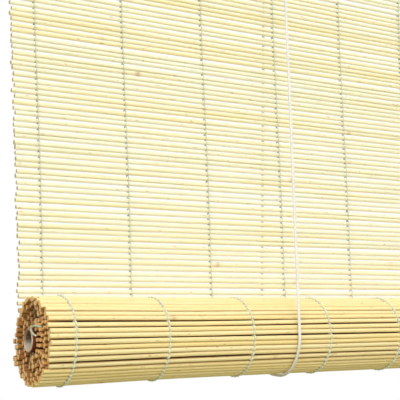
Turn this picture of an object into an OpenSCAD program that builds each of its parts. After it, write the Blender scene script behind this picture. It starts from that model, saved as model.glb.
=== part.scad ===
// Bamboo roll-up blind, half raised: a mat of thin round sticks hangs from a clamped wooden head,
// and its lower end is wound round a hollow pole, carried in the slings of two lift cords.
// X runs along the width, Y into the wall, Z up. The origin is midway between the two mounting
// holes, on the back face of the head. Millimetres.

/* [Mat] */
// Length of every stick, and so the blind's width
blind_w = 900; // [700:10:1500]
// Diameter of one bamboo stick
stick_d = 2.3; // [1.9:0.1:2.8]
// Distance from one stick to the next along the mat
stick_pitch = 3.9; // [3.5:0.1:4.6]
// Sticks that hang flat, from the head down to the roll
hanging_sticks = 120; // [60:1:120]
// Warp threads across the width
thread_count = 14; // [4:1:14]
// From a stick's end to the first warp thread
thread_margin = 20; // [12:1:60]
// Diameter of one yarn of a warp thread
yarn_d = 0.9; // [0.6:0.1:1.2]
// Thickness of the binding that ties the sticks to each other
binding_t = 0.6; // [0.4:0.1:0.9]
// Width of the binding along the sticks
binding_w = 1.6; // [1:0.1:3]

/* [Roll] */
// Outer diameter of the roll
roll_d = 56; // [44:1:70]
// Air between one turn of sticks and the next
turn_gap = 0.32; // [0.2:0.02:0.6]
// Outer diameter of the bamboo pole that the mat is wound on
pole_d = 15.6; // [12:0.2:20]
// Wall of the pole
pole_wall = 2.6; // [1.5:0.1:4]
// Depth of the hollow at each end of the pole, as far as its first joint
pole_hollow = 90; // [30:5:200]

/* [Head] */
// Height of the two laths that clamp the mat
lath_h = 25; // [24:1:31]
// Thickness of one lath
lath_t = 6; // [5:0.5:10]
// Rounding of the laths' long edges
lath_round = 1.5; // [0.5:0.1:2.4]
// From the blind's side edge to a mounting hole
mount_inset = 50; // [36:1:60]
// Diameter of a mounting hole
mount_hole_d = 4; // [3:0.1:4.5]
// Diameter of a clamping nail
nail_d = 1.4; // [1:0.1:1.5]
// Diameter of a nail's head
nail_head_d = 3; // [2.2:0.1:4]
// Thickness of a nail's head
nail_head_t = 0.6; // [0.4:0.1:1]
// Nails between the two pulleys
nail_count = 7; // [3:2:9]
// From the blind's side edge to its outermost nail
nail_inset = 10; // [6:1:20]

/* [Cords] */
// Diameter of the lift cords
cord_d = 2; // [1.5:0.1:2.4]
// From the blind's side edge to a lift cord's pulley and its run behind the mat
cord_inset = 201; // [160:1:205]
// How much farther out a cord passes the roll in front than behind
cord_lean = 11; // [5:0.5:14]
// Diameter of the knot that holds a cord's fixed end
knot_d = 5.4; // [4.4:0.1:7]

/* [Pulleys] */
// Radius from a pulley's axis to the cord's middle
groove_r = 8; // [7:0.1:10]
// How far the rim stands above the cord's middle
rim_rise = 2; // [1.5:0.1:3]
// Distance between the two grooves of the right pulley
groove_pitch = 4.4; // [3.8:0.1:6]
// Thickness of the rim beside a groove
rim_t = 0.6; // [0.4:0.1:1.2]
// How much wider a groove's half grows for each millimetre towards the rim
groove_flare = 0.28; // [0.26:0.01:0.3]
// Diameter of an axle
axle_d = 4; // [3:0.1:5]
// Thickness of the bracket's sheet metal
plate_t = 1.2; // [0.8:0.1:2]
// Width of a bracket's cheeks
cheek_w = 16; // [12:0.5:18]
// Width across a bracket's two ears
ear_w = 40; // [38:0.5:46]
// Height of the ears
ear_h = 11; // [9:0.5:14]
// Thickness of an axle's riveted head
rivet_t = 1; // [0.6:0.1:2]
// How far the riveted head stands out round the axle
rivet_rim = 1; // [0.6:0.1:2]

/* [Screws] */
// Diameter of a wood screw
screw_d = 2.4; // [2:0.1:3]
// Diameter of its head
screw_head_d = 5; // [4:0.1:6]
// Thickness of its head
screw_head_t = 1.5; // [1:0.1:1.8]
// How far a screw reaches into the lath
screw_depth = 4.5; // [3:0.1:4.8]

/* [Cleat] */
// Distance of the cleat from the blind's right edge
cleat_inset = 90; // [85:1:95]
// Length of the cleat's foot
cleat_foot_l = 46; // [44:1:50]
// From the end of the foot to its screw
cleat_screw_inset = 5.5; // [4.5:0.1:6.5]
// Thickness of the foot
cleat_foot_t = 3; // [2.6:0.1:5]
// Height of the cleat, up the lath
cleat_h = 10; // [8:0.5:11]
// Length of the stem along the lath
cleat_stem_l = 20; // [14:1:22]
// Length over both horns
cleat_horn_l = 74; // [60:1:90]
// Thickness of a horn at the stem
cleat_horn_t = 6; // [5:0.2:8]
// Diameter of a horn's tip
cleat_tip_d = 3.6; // [2.4:0.2:5]
// Length of the hank of spare cord
hank_l = 62; // [56:1:66]
// Height of the hank
hank_h = 38; // [34:1:42]
// Thickness of the hank, away from the lath
hank_t = 12; // [9:0.5:15]

/* [Clearances] */
// Gap between two fixed pieces that touch
seat_gap = 0.05; // [0.02:0.01:0.1]
// Gap between pieces that move past each other
body_gap = 0.3; // [0.3:0.05:0.5]
// Radial gap of a wheel on its axle
running_gap = 0.05; // [0.02:0.01:0.1]
// Gap round a cord in its hole
cord_hole_gap = 0.4; // [0.3:0.1:0.6]
// Gap between a pulley's rim and the bridge of its bracket
bridge_gap = 1.2; // [0.6:0.1:2]
// Gap round the cleat's stem inside the hank
hank_hole_gap = 2; // [1:0.1:3]
// How far a cut runs past the face it starts from
overrun = 1; // [0.5:0.1:2]

/* [Hidden] */
$fn = 48;

// The head's faces, and the middle plane of the mat between the laths
half_w = blind_w / 2;
head_front_y = -(2 * lath_t + stick_d);
mat_y = -(lath_t + stick_d / 2);

// Sticks: an even number lies between the laths, so that a gap falls at the mounting holes
clamped_sticks = 2 * floor(lath_h / (2 * stick_pitch));
first_stick_z = (clamped_sticks - 1) / 2 * stick_pitch;
last_stick_z = first_stick_z - (hanging_sticks - 1) * stick_pitch;
nail_z = stick_pitch * (clamped_sticks / 2 - 1);
mount_x = half_w - mount_inset;
nail_span = 2 * (half_w - cord_inset - ear_w);
nail_xs = concat(
    [nail_inset - half_w],
    [for (i = [0 : nail_count - 1]) (i / (nail_count - 1) - 0.5) * nail_span],
    [half_w - nail_inset]
);

// The roll: a spiral of sticks that is set by its outer turn
turn_pitch = stick_d + turn_gap;
outer_turn_r = (roll_d - stick_d) / 2;
inner_turn_r = (pole_d + stick_d) / 2 + seat_gap;
rolled_sticks = floor(PI * (pow(outer_turn_r, 2) - pow(inner_turn_r, 2)) / (turn_pitch * stick_pitch));
lead_angle = 90 * stick_pitch / (PI * outer_turn_r);
roll_thread_r = roll_d / 2 + seat_gap + yarn_d / 2;
roll_to_mat = roll_thread_r + yarn_d / 2 + body_gap + yarn_d + seat_gap + stick_d / 2;
roll_y = mat_y - roll_to_mat;
roll_z = last_stick_z - stick_pitch / 2;

// Warp threads
thread_step = (blind_w - 2 * thread_margin) / (thread_count - 1);
strand_offset = stick_d / 2 + seat_gap + yarn_d / 2;

// Cords
left = -1;
right = 1;
sling_r = roll_d / 2 + body_gap + cord_d / 2;
cord_front_y = roll_y - sling_r;
cord_back_y = -lath_t / 2;
sling_span = cord_back_y - cord_front_y;
sling_angle = atan2(cord_lean, sling_span);
sling_l = sling_span / cos(sling_angle);
sling_bend_r = sling_r / cos(sling_angle);

// Pulleys
flange_r = groove_r + rim_rise;
axle_r = axle_d / 2;
bridge_rise = flange_r + bridge_gap;
ear_screw_x = ear_w / 2 - ear_h / 2;

// Cleat
cleat_x = half_w - cleat_inset;
cleat_screw_x = cleat_foot_l / 2 - cleat_screw_inset;
cleat_stem_end = cleat_foot_t + hank_t + 2 * seat_gap;
hank_reach = (hank_l - hank_h) / 2 + sqrt(pow(hank_h / 2, 2) - pow(groove_r - cord_d / 2, 2));

// Distance of the stick number k, counted inward from the mat's tangent, from the roll's axis
function turn_r(k) = sqrt(pow(outer_turn_r, 2) - turn_pitch * k * stick_pitch / PI);
// Its angle, from the back of the roll and rising towards the top
function turn_angle(k) = -lead_angle - 360 * (outer_turn_r - turn_r(k)) / turn_pitch;
// Its centre across the roll
function turn_point(k) = turn_r(k) * [cos(turn_angle(k)), sin(turn_angle(k))];
// Where the warp thread number i crosses the sticks
function thread_x(i) = -half_w + thread_margin + (i - 1) * thread_step;
// Where a lift cord runs at the head and behind the mat, and where it passes the roll in front
function cord_x(side) = side * (half_w - cord_inset);
function cord_front_x(side) = cord_x(side) + side * cord_lean;
// A pulley's axis, to the right of the cord that rises to it
function pulley_x(side) = cord_x(side) + groove_r;
// Grooves on each pulley: the right one also guides the left cord
function grooves(side) = side == right ? 2 : 1;
// Middle of a groove, from the back of its wheel
function groove_mid(j) = (groove_pitch + rim_t) / 2 + j * groove_pitch;
function wheel_w(side) = grooves(side) * groove_pitch + rim_t;
// Depth of a bracket, from the lath to the outer face of its front cheek
function bracket_depth(side) = 2 * plate_t + 2 * body_gap + wheel_w(side);
// The groove that a side's own cord runs in, and that cord's place in front of the head
function own_groove(side) = grooves(side) - 1;
function head_cord_y(side) = head_front_y - plate_t - body_gap - groove_mid(own_groove(side));
function thread_name(i) = str(i < 10 ? "0" : "", i);
function side_name(side) = side == left ? "left_" : "right_";

SIDES = [left, right];
SIDE_PARTS = [
    "pulley_bracket", "pulley_wheel", "pulley_axle",
    "cord_front", "cord_back", "cord_sling", "cord_head"
];

// A rectangle with round corners, centred
module rounded_rect(w, h, r) {
    square([w - 2 * r, h], center = true);
    square([w, h - 2 * r], center = true);
    for (x = [-1, 1], y = [-1, 1])
        translate([x * (w / 2 - r), y * (h / 2 - r)])
            circle(r = r);
}

// A slot shape: a rectangle with half-round ends, centred
module stadium(l, h) {
    square([l - h, h], center = true);
    for (x = [-1, 1])
        translate([x * (l - h) / 2, 0])
            circle(d = h);
}

// Extrudes a Y-Z outline along the blind's whole width
module along_width() {
    translate([-half_w, 0, 0])
        rotate([90, 0, 90])
            linear_extrude(height = blind_w)
                children();
}

// Stands children on the head's front face, their own Z towards the viewer
module on_head(x) {
    translate([x, head_front_y, 0])
        rotate([90, 0, 0])
            children();
}

// A straight bore or rod along Y, from the front of the head to its back
module through_head(x, z, d) {
    translate([x, head_front_y - overrun, z])
        rotate([-90, 0, 0])
            cylinder(h = 2 * overrun - head_front_y, d = d);
}

module at_nails() {
    for (i = [0 : len(nail_xs) - 1])
        translate([nail_xs[i], 0, i % 2 == 0 ? nail_z : -nail_z])
            children();
}

module at_fixing_screws() {
    for (side = SIDES, x = [-1, 1])
        on_head(pulley_x(side) + x * ear_screw_x)
            translate([0, 0, plate_t])
                children();
    for (x = [-1, 1])
        on_head(cleat_x + x * cleat_screw_x)
            translate([0, 0, cleat_foot_t - screw_head_t])
                children();
}

// Holes that go right through the clamped head: two for mounting, the others for the nails
module head_holes() {
    for (side = SIDES)
        through_head(side * mount_x, 0, mount_hole_d);
    at_nails()
        through_head(0, 0, nail_d + 2 * seat_gap);
}

module lath(y) {
    difference() {
        along_width()
            translate([y, 0])
                rounded_rect(lath_t, lath_h, lath_round);
        head_holes();
        children();
    }
}

module head_lath_front() {
    color("burlywood")
        lath(head_front_y + lath_t / 2)
            at_fixing_screws()
                translate([0, 0, -lath_t])
                    cylinder(h = lath_t, d = screw_d + 2 * seat_gap);
}

module head_lath_back() {
    color("burlywood")
        lath(cord_back_y)
            for (side = SIDES)
                translate([cord_x(side), cord_back_y, -lath_h])
                    cylinder(h = 2 * lath_h, d = cord_d + 2 * cord_hole_gap);
}

module lath_nails() {
    shank_l = -head_front_y - lath_t / 4;
    color("silver")
        at_nails()
            translate([0, head_front_y, 0])
                rotate([90, 0, 0]) {
                    translate([0, 0, -shank_l])
                        cylinder(h = shank_l, d = nail_d);
                    cylinder(h = nail_head_t, d = nail_head_d);
                }
}

module fixing_screws() {
    color("silver")
        at_fixing_screws() {
            cylinder(h = screw_head_t, d = screw_head_d);
            translate([0, 0, -screw_depth])
                cylinder(h = screw_depth, d = screw_d);
        }
}

// The hanging mat: round sticks, tied to each other along the first and the last warp thread
module stick_mat() {
    color("khaki")
        difference() {
            union() {
                along_width()
                    for (k = [0 : hanging_sticks - 1])
                        translate([mat_y, first_stick_z - k * stick_pitch])
                            circle(d = stick_d);
                for (i = [1, thread_count])
                    translate([thread_x(i) - binding_w / 2, mat_y - binding_t / 2, last_stick_z])
                        cube([binding_w, binding_t, first_stick_z - last_stick_z]);
            }
            head_holes();
        }
}

// The wound part of the mat: every stick of the spiral, joined by its binding
module rolled_mat() {
    color("goldenrod")
        along_width()
            translate([roll_y, roll_z]) {
                for (k = [0 : rolled_sticks - 1])
                    translate(turn_point(k))
                        circle(d = stick_d);
                for (k = [1 : rolled_sticks - 1])
                    binding_link(turn_point(k), turn_point(k - 1));
            }
}

module binding_link(from, to) {
    step = to - from;
    translate(from)
        rotate(atan2(step.y, step.x))
            translate([0, -binding_t / 2])
                square([norm(step), binding_t]);
}

// Bamboo pole, hollow from each end to its first joint
module bamboo_pole() {
    color("tan")
        translate([0, roll_y, roll_z])
            rotate([0, 90, 0])
                difference() {
                    cylinder(h = blind_w, d = pole_d, center = true);
                    for (side = SIDES)
                        translate([0, 0, side * (half_w + (overrun - pole_hollow) / 2)])
                            cylinder(h = pole_hollow + overrun, d = pole_d - 2 * pole_wall, center = true);
                }
}

// One warp thread of the hanging mat: a yarn in front of the sticks and one behind them
module warp_thread(i) {
    color("darkseagreen")
        for (face = [-1, 1])
            translate([thread_x(i), mat_y + face * strand_offset, roll_z])
                cylinder(h = -lath_h / 2 - seat_gap - roll_z, d = yarn_d);
}

// The same thread on the roll's outer turn: a spiral of four arcs, each with its own centre
module roll_thread(i) {
    arc_step = turn_pitch / 4;
    centres = arc_step / 2 * [[-1, 1], [-1, -1], [1, -1], [1, 1]];
    color("darkseagreen")
        translate([thread_x(i) - yarn_d / 2, roll_y, roll_z])
            rotate([90, 0, 90])
                linear_extrude(height = yarn_d)
                    for (q = [0 : 3])
                        translate(centres[q])
                            rotate(90 * q)
                                yarn_quarter(roll_thread_r - arc_step / 2 - (3 - q) * arc_step);
}

// A quarter of a flat ring, one yarn wide
module yarn_quarter(mid_r) {
    outer_r = mid_r + yarn_d / 2;
    intersection() {
        difference() {
            circle(r = outer_r);
            circle(r = mid_r - yarn_d / 2);
        }
        square(outer_r);
    }
}

// The outline of a bracket's cheek
module cheek_outline() {
    circle(d = cheek_w);
    translate([-cheek_w / 2, 0])
        square([cheek_w, bridge_rise + plate_t]);
}

module pulley_bracket(side) {
    depth = bracket_depth(side);
    color("lightsteelblue")
        on_head(pulley_x(side))
            difference() {
                union() {
                    linear_extrude(height = plate_t) {
                        stadium(ear_w, ear_h);
                        cheek_outline();
                    }
                    translate([0, 0, depth - plate_t])
                        linear_extrude(height = plate_t)
                            cheek_outline();
                    translate([-cheek_w / 2, bridge_rise, 0])
                        cube([cheek_w, plate_t, depth]);
                }
                translate([0, 0, -overrun])
                    cylinder(h = depth + 2 * overrun, d = axle_d + 2 * seat_gap);
                for (x = [-1, 1])
                    translate([x * ear_screw_x, 0, -overrun])
                        cylinder(h = plate_t + 2 * overrun, d = screw_d + 2 * seat_gap);
            }
}

// A pulley's wheel, with a round groove for each cord that it guides
module pulley_wheel(side) {
    groove_open = cord_d / 2 + body_gap;
    groove_top = rim_rise + overrun;
    rim_open = groove_open + groove_flare * groove_top;
    color("ivory")
        on_head(pulley_x(side))
            translate([0, 0, plate_t + body_gap])
                rotate_extrude()
                    difference() {
                        translate([axle_r + running_gap, 0])
                            square([flange_r - axle_r - running_gap, wheel_w(side)]);
                        for (j = [0 : grooves(side) - 1])
                            translate([groove_r, groove_mid(j)]) {
                                circle(r = groove_open);
                                polygon([
                                    [0, -groove_open], [groove_top, -rim_open],
                                    [groove_top, rim_open], [0, groove_open]
                                ]);
                            }
                    }
}

module pulley_axle(side) {
    depth = bracket_depth(side);
    color("silver")
        on_head(pulley_x(side)) {
            cylinder(h = depth + rivet_t, r = axle_r);
            translate([0, 0, depth])
                cylinder(h = rivet_t, r = axle_r + rivet_rim);
        }
}

// The cord's run in front of the mat, from its pulley down to the sling
module cord_front(side) {
    run = [cord_front_x(side) - cord_x(side), cord_front_y - head_cord_y(side), roll_z + body_gap];
    top_gap = seat_gap + cord_d / 2 * norm([run.x, run.y]) / norm(run);
    color("white")
        translate([cord_x(side), head_cord_y(side), 0])
            rotate([0, acos(run.z / norm(run)), atan2(run.y, run.x)])
                translate([0, 0, top_gap])
                    cylinder(h = norm(run) - seat_gap - top_gap, d = cord_d);
}

// The cord's run behind the mat, hung by its knot on the back lath
module cord_back(side) {
    bottom_z = roll_z + body_gap;
    knot_z = (lath_h + knot_d) / 2 + seat_gap;
    color("white")
        translate([cord_x(side), cord_back_y, 0]) {
            translate([0, 0, bottom_z])
                cylinder(h = knot_z - bottom_z, d = cord_d);
            translate([0, 0, knot_z])
                sphere(d = knot_d);
        }
}

// The sling that carries the roll: down its front, slanting under it and up behind the mat. Its
// straight stretch is a hair thicker and reaches into both bends.
module cord_sling(side) {
    color("white")
        translate([cord_front_x(side), cord_front_y, roll_z])
            rotate(side * sling_angle)
                rotate([90, 0, 90]) {
                    translate([sling_bend_r, 0])
                        rotate(180)
                            sling_quarter();
                    translate([sling_l - sling_bend_r, 0])
                        rotate(270)
                            sling_quarter();
                    translate([sling_bend_r - overrun, -sling_bend_r])
                        rotate([0, 90, 0])
                            cylinder(h = sling_l - 2 * sling_bend_r + 2 * overrun, d = cord_d + 2 * seat_gap);
                }
}

module sling_quarter() {
    rotate_extrude(angle = 90)
        translate([sling_bend_r, 0])
            circle(d = cord_d);
}

// The cord over its pulley and along the head, as far as the hank on the cleat
module cord_head(side) {
    color("white")
        translate([pulley_x(side), head_cord_y(side), 0]) {
            rotate([90, 0, 0])
                rotate(90)
                    rotate_extrude(angle = 90)
                        translate([groove_r, 0])
                            circle(d = cord_d);
            translate([0, 0, groove_r])
                rotate([0, 90, 0])
                    cylinder(h = cleat_x - hank_reach - seat_gap - pulley_x(side), d = cord_d);
        }
}

module tie_cleat() {
    horn_y = cleat_stem_end + cleat_horn_t / 2;
    color("tan")
        translate([cleat_x, head_front_y, 0])
            difference() {
                linear_extrude(height = cleat_h, center = true)
                    mirror([0, 1]) {
                        translate([-cleat_foot_l / 2, 0])
                            square([cleat_foot_l, cleat_foot_t]);
                        translate([-cleat_stem_l / 2, 0])
                            square([cleat_stem_l, horn_y]);
                        for (x = [-1, 1])
                            hull() {
                                translate([x * cleat_stem_l / 4, horn_y])
                                    circle(d = cleat_horn_t);
                                translate([x * (cleat_horn_l - cleat_tip_d) / 2, horn_y])
                                    circle(d = cleat_tip_d);
                            }
                    }
                for (x = [-1, 1])
                    translate([x * cleat_screw_x, 0, 0])
                        rotate([90, 0, 0]) {
                            translate([0, 0, -overrun])
                                cylinder(h = cleat_foot_t + 2 * overrun, d = screw_d + 2 * seat_gap);
                            translate([0, 0, cleat_foot_t - screw_head_t])
                                cylinder(h = screw_head_t + overrun, d = screw_head_d + 2 * seat_gap);
                        }
            }
}

// The spare cord of both sides, wound round the cleat's stem
module cord_hank() {
    color("white")
        on_head(cleat_x)
            translate([0, 0, cleat_foot_t + seat_gap])
                linear_extrude(height = hank_t)
                    difference() {
                        stadium(hank_l, hank_h);
                        stadium(cleat_stem_l + 2 * hank_hole_gap + cleat_h / 2, cleat_h + 2 * hank_hole_gap);
                    }
}

head_lath_front();
head_lath_back();
lath_nails();
fixing_screws();
tie_cleat();
cord_hank();
stick_mat();
rolled_mat();
bamboo_pole();
for (side = SIDES) {
    pulley_bracket(side);
    pulley_wheel(side);
    pulley_axle(side);
    cord_front(side);
    cord_back(side);
    cord_sling(side);
    cord_head(side);
}
for (i = [1 : thread_count]) {
    warp_thread(i);
    roll_thread(i);
}
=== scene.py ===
"""Looks of a bamboo roll-up blind: thin sticks on twisted warp threads, half wound round a pole.

X runs along the width, Y into the wall, Z up. The classes hold their sizes in millimetres, and a
mesh is made in metres.
"""
from __future__ import annotations

import logging
import math
from dataclasses import dataclass, field, replace
from enum import Enum
from typing import Any, Sequence, Union

import bpy
import numpy as np
from mathutils import Matrix, Vector


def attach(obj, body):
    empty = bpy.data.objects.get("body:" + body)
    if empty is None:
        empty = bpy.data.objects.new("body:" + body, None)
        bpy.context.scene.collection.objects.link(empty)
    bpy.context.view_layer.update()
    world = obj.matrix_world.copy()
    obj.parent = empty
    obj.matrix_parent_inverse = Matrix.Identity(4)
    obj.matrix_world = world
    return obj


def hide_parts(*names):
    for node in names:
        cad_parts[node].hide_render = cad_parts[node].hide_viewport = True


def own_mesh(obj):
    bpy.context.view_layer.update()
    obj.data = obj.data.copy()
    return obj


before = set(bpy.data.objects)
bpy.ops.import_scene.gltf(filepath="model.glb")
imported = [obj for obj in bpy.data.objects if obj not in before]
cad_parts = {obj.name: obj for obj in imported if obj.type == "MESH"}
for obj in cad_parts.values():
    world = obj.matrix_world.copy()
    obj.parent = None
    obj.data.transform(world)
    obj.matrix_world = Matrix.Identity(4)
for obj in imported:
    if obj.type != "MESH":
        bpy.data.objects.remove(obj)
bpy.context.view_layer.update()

LOG = logging.getLogger("blind")
MM = 0.001
Colour = tuple[float, float, float]
Array = np.ndarray
ALONG = (1, 0, 0)
INTO_WALL = (0, 1, 0)
UPWARD = (0, 0, 1)


class Side(Enum):
    """The two ends of the blind, as seen from the room."""

    LEFT = -1
    RIGHT = 1

    @property
    def word(self) -> str:
        """The side's name in node names."""
        return self.name.lower()


class Body(Enum):
    """The bodies that pieces ride on."""

    HEAD = "head"
    SLINGS = "slings"
    ROLL = "roll"


class Slot(Enum):
    """The record's material slots of the pieces that are made here."""

    MAT = "mat_sticks"
    WOUND = "roll_sticks"
    POLE = "pole_bamboo"
    YARN = "warp_yarn"
    CORD = "white_cord"


def tint(red: int, green: int, blue: int) -> Colour:
    """A colour written as on a screen, 0 to 255, as Blender's linear values.

    Args:
        red, green, blue: The screen's values.

    Returns:
        The three linear values.
    """
    def linear(level: int) -> float:
        """One channel's linear value."""
        c = level / 255
        return c / 12.92 if c <= 0.04045 else ((c + 0.055) / 1.055) ** 2.4

    return linear(red), linear(green), linear(blue)


def ease(value: Array | float) -> Array | float:
    """A smooth step from 0 to 1, level at both ends."""
    t = np.clip(value, 0.0, 1.0)
    return t * t * (3 - 2 * t)


class Flow:
    """A shader socket that is used like a number in Python expressions."""

    def __init__(self, graph: Graph, socket: bpy.types.NodeSocket) -> None:
        """Keeps the graph and the socket."""
        self.graph = graph
        self.socket = socket

    def __add__(self, other: Number) -> Flow:
        """Sum of two values."""
        return self.graph.math("ADD", self, other)

    __radd__ = __add__

    def __sub__(self, other: Number) -> Flow:
        """Difference of two values."""
        return self.graph.math("SUBTRACT", self, other)

    def __rsub__(self, other: Number) -> Flow:
        """Difference with the value on the right."""
        return self.graph.math("SUBTRACT", other, self)

    def __mul__(self, other: Number) -> Flow:
        """Product of two values."""
        return self.graph.math("MULTIPLY", self, other)

    __rmul__ = __mul__

    def wave(self) -> Flow:
        """A wave from 0 to 1 along a value in radians."""
        return self.graph.math("SINE", self) * 0.5 + 0.5

    def between(self, low: float, high: float) -> Flow:
        """A smooth step: 0 up to low, 1 from high on.

        Args:
            low: Where the step starts.
            high: Where it ends.

        Returns:
            The stepped value.
        """
        return self.graph.node("ShaderNodeMapRange", {"interpolation_type": "SMOOTHSTEP"},
                               {0: self, 1: low, 2: high, 3: 0.0, 4: 1.0})


Number = Union[Flow, float]


class Graph:
    """The nodes of one finish, or of the world."""

    def __init__(self, tree: bpy.types.NodeTree) -> None:
        """Starts on an empty node tree."""
        self.tree = tree
        tree.nodes.clear()

    @classmethod
    def of_material(cls, name: str) -> tuple[Graph, bpy.types.Material]:
        """Starts a new material.

        Args:
            name: Its name.

        Returns:
            Its graph and the material.
        """
        material = bpy.data.materials.new(name)
        material.use_nodes = True
        return cls(material.node_tree), material

    def feed(self, socket: bpy.types.NodeSocket, value: Any) -> None:
        """Links a flow to a socket, or sets the socket's own value.

        Args:
            socket: The input to fill.
            value: A flow, a number, a colour or a vector.
        """
        if isinstance(value, Flow):
            self.tree.links.new(value.socket, socket)
        elif socket.type == "RGBA":
            socket.default_value = (*value[:3], 1.0)
        else:
            socket.default_value = value

    def node(self, kind: str, settings: dict[str, Any] | None = None,
             sockets: dict[Any, Any] | None = None, out: int | str = 0) -> Flow:
        """Makes any node.

        Args:
            kind: Blender's name of the node's type.
            settings: Properties, set first.
            sockets: Values or flows of the inputs, by index or name.
            out: Which output to return.

        Returns:
            The chosen output.
        """
        made = self.tree.nodes.new(kind)
        for key, value in (settings or {}).items():
            setattr(made, key, value)
        for key, value in (sockets or {}).items():
            self.feed(made.inputs[key], value)
        return Flow(self, made.outputs[out]) if made.outputs else Flow(self, made.inputs[0])

    def math(self, operation: str, *values: Number) -> Flow:
        """One Math node on values."""
        return self.node("ShaderNodeMath", {"operation": operation}, dict(enumerate(values)))

    def mix(self, share: Number, first: Any, second: Any) -> Flow:
        """Blends two colours.

        Args:
            share: 0 for the first colour, 1 for the second.
            first, second: The colours.

        Returns:
            The blended colour.
        """
        return self.node("ShaderNodeMix", {"data_type": "RGBA", "clamp_factor": True},
                         {0: share, 6: first, 7: second}, 2)

    def attribute(self, name: str, vector: bool = False) -> Flow:
        """A value that the mesh carries at its points."""
        return self.node("ShaderNodeAttribute", {"attribute_name": name}, out=1 if vector else 2)

    def axis(self, vector: Flow, number: int) -> Flow:
        """One of a vector's three values."""
        return self.node("ShaderNodeSeparateXYZ", {}, {0: vector}, number)

    def noise(self, vector: Flow, fine: Colour, detail: float) -> Flow:
        """Soft noise, about 0.25 to 0.75.

        Args:
            vector: Where the noise is read.
            fine: How fine it is along each axis.
            detail: How many finer layers it has.

        Returns:
            The noise.
        """
        scaled = self.node("ShaderNodeVectorMath", {"operation": "MULTIPLY"}, {0: vector, 1: fine})
        return self.node("ShaderNodeTexNoise", {}, {"Vector": scaled, "Scale": 1.0, "Detail": detail,
                                                    "Roughness": 0.55})

    def place(self) -> Flow:
        """A point's place in its object, in metres."""
        return self.node("ShaderNodeTexCoord", out="Object")

    def surface(self, colour: Any, rough: Any, height: Flow | None = None, depth: float = 0.1,
                **sockets: Any) -> None:
        """Ends the graph in a shader.

        Args:
            colour: Base colour.
            rough: Roughness.
            height: What the bump reads, or nothing for no bump.
            depth: How deep the bump is, in millimetres.
            sockets: Other inputs, with _ for the spaces in their names.
        """
        inputs = {key.replace("_", " "): value for key, value in sockets.items()}
        inputs.update({"Base Color": colour, "Roughness": rough})
        if height is not None:
            inputs["Normal"] = self.node("ShaderNodeBump", {}, {"Height": height, "Strength": 1.0,
                                                                "Distance": depth * MM})
        shader = self.node("ShaderNodeBsdfPrincipled", {}, inputs)
        self.node("ShaderNodeOutputMaterial", {}, {"Surface": shader})


@dataclass(frozen=True)
class StickFinish:
    """Split bamboo: fibres along the stick, flecks, brown knuckles and cut ends, and painted shade on the
    sides and ends of sticks that lie in gaps and deep in the roll.
    """

    name: str
    pale: Colour
    warm: Colour
    fleck: Colour
    cut: Colour
    # The colour of the painted shade in gaps and deep in the roll.
    gap: Colour
    painted_shade_share: float = 0.0
    glow: float = 0.0

    def material(self) -> bpy.types.Material:
        """Builds the finish from the values that the stick meshes carry.

        Returns:
            The material.
        """
        g, material = Graph.of_material(self.name)
        grain = g.attribute("grain", vector=True)
        fibre = g.noise(grain, (0.03, 3.0, 3.0), 4.0).between(0.3, 0.7)
        cloud = g.noise(grain, (0.012, 0.05, 0.05), 2.0).between(0.35, 0.65)
        fleck = g.noise(grain, (0.16, 0.9, 0.9), 2.0).between(0.66, 0.74)
        knuckle = g.attribute("mark")
        body = g.mix(g.attribute("tone") * 0.7 + cloud * 0.3 + fibre * 0.2, self.pale, self.warm)
        # Painted shade: the gap colour darkens the sides of the sticks by how far they lie in a gap or deep
        # in the roll.
        body = g.mix(g.attribute("shade") * self.painted_shade_share, body, self.gap)
        body = g.mix(fleck * 0.55, body, self.fleck)
        body = g.mix(knuckle * (0.35 + 0.5 * fibre), body, self.fleck)
        pores = g.noise(grain, (0.5, 5.0, 5.0), 3.0).between(0.35, 0.65)
        end = g.mix(pores * 0.8, self.cut, self.warm)
        # Painted shade: the gap colour darkens the end faces of sticks that are set deep in the roll.
        end = g.mix(g.attribute("shade") * self.painted_shade_share, end, self.gap)
        colour = g.mix(g.attribute("cut"), body, end)
        g.surface(colour, 0.44 + 0.2 * fibre, fibre + pores * 0.6, depth=0.07, Specular_IOR_Level=0.4,
                  Subsurface_Weight=self.glow, Subsurface_Radius=(1.0, 0.95, 0.85), Subsurface_Scale=2.2 * MM)
        return material


@dataclass(frozen=True)
class YarnFinish:
    """Two-ply cotton yarn, with painted shade where it dips between the sticks and in the grooves of its
    twist.
    """

    name: str
    crown: Colour
    dip_shade: Colour
    turns: float = 2.6

    def material(self) -> bpy.types.Material:
        """Builds the finish.

        Returns:
            The material.
        """
        g, material = Graph.of_material(self.name)
        grain = g.attribute("grain", vector=True)
        along = g.axis(grain, 0)
        ply = (along * self.turns + g.attribute("turn") * 2.0).wave()
        fuzz = g.noise(grain, (6.0, 6.0, 6.0), 3.0).between(0.3, 0.7)
        # Painted shade in the grooves of the twist, towards the darker colour.
        groove_shaded = g.mix(0.55 + ply * 0.25 + fuzz * 0.25, self.dip_shade, self.crown)
        # Painted shade where the yarn dips between the sticks.
        colour = g.mix(g.attribute("mark"), groove_shaded, self.dip_shade)
        g.surface(colour, 0.82 + 0.12 * fuzz, ply + fuzz * 0.5, depth=0.12, Sheen_Weight=0.25,
                  Specular_IOR_Level=0.2)
        return material


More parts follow.
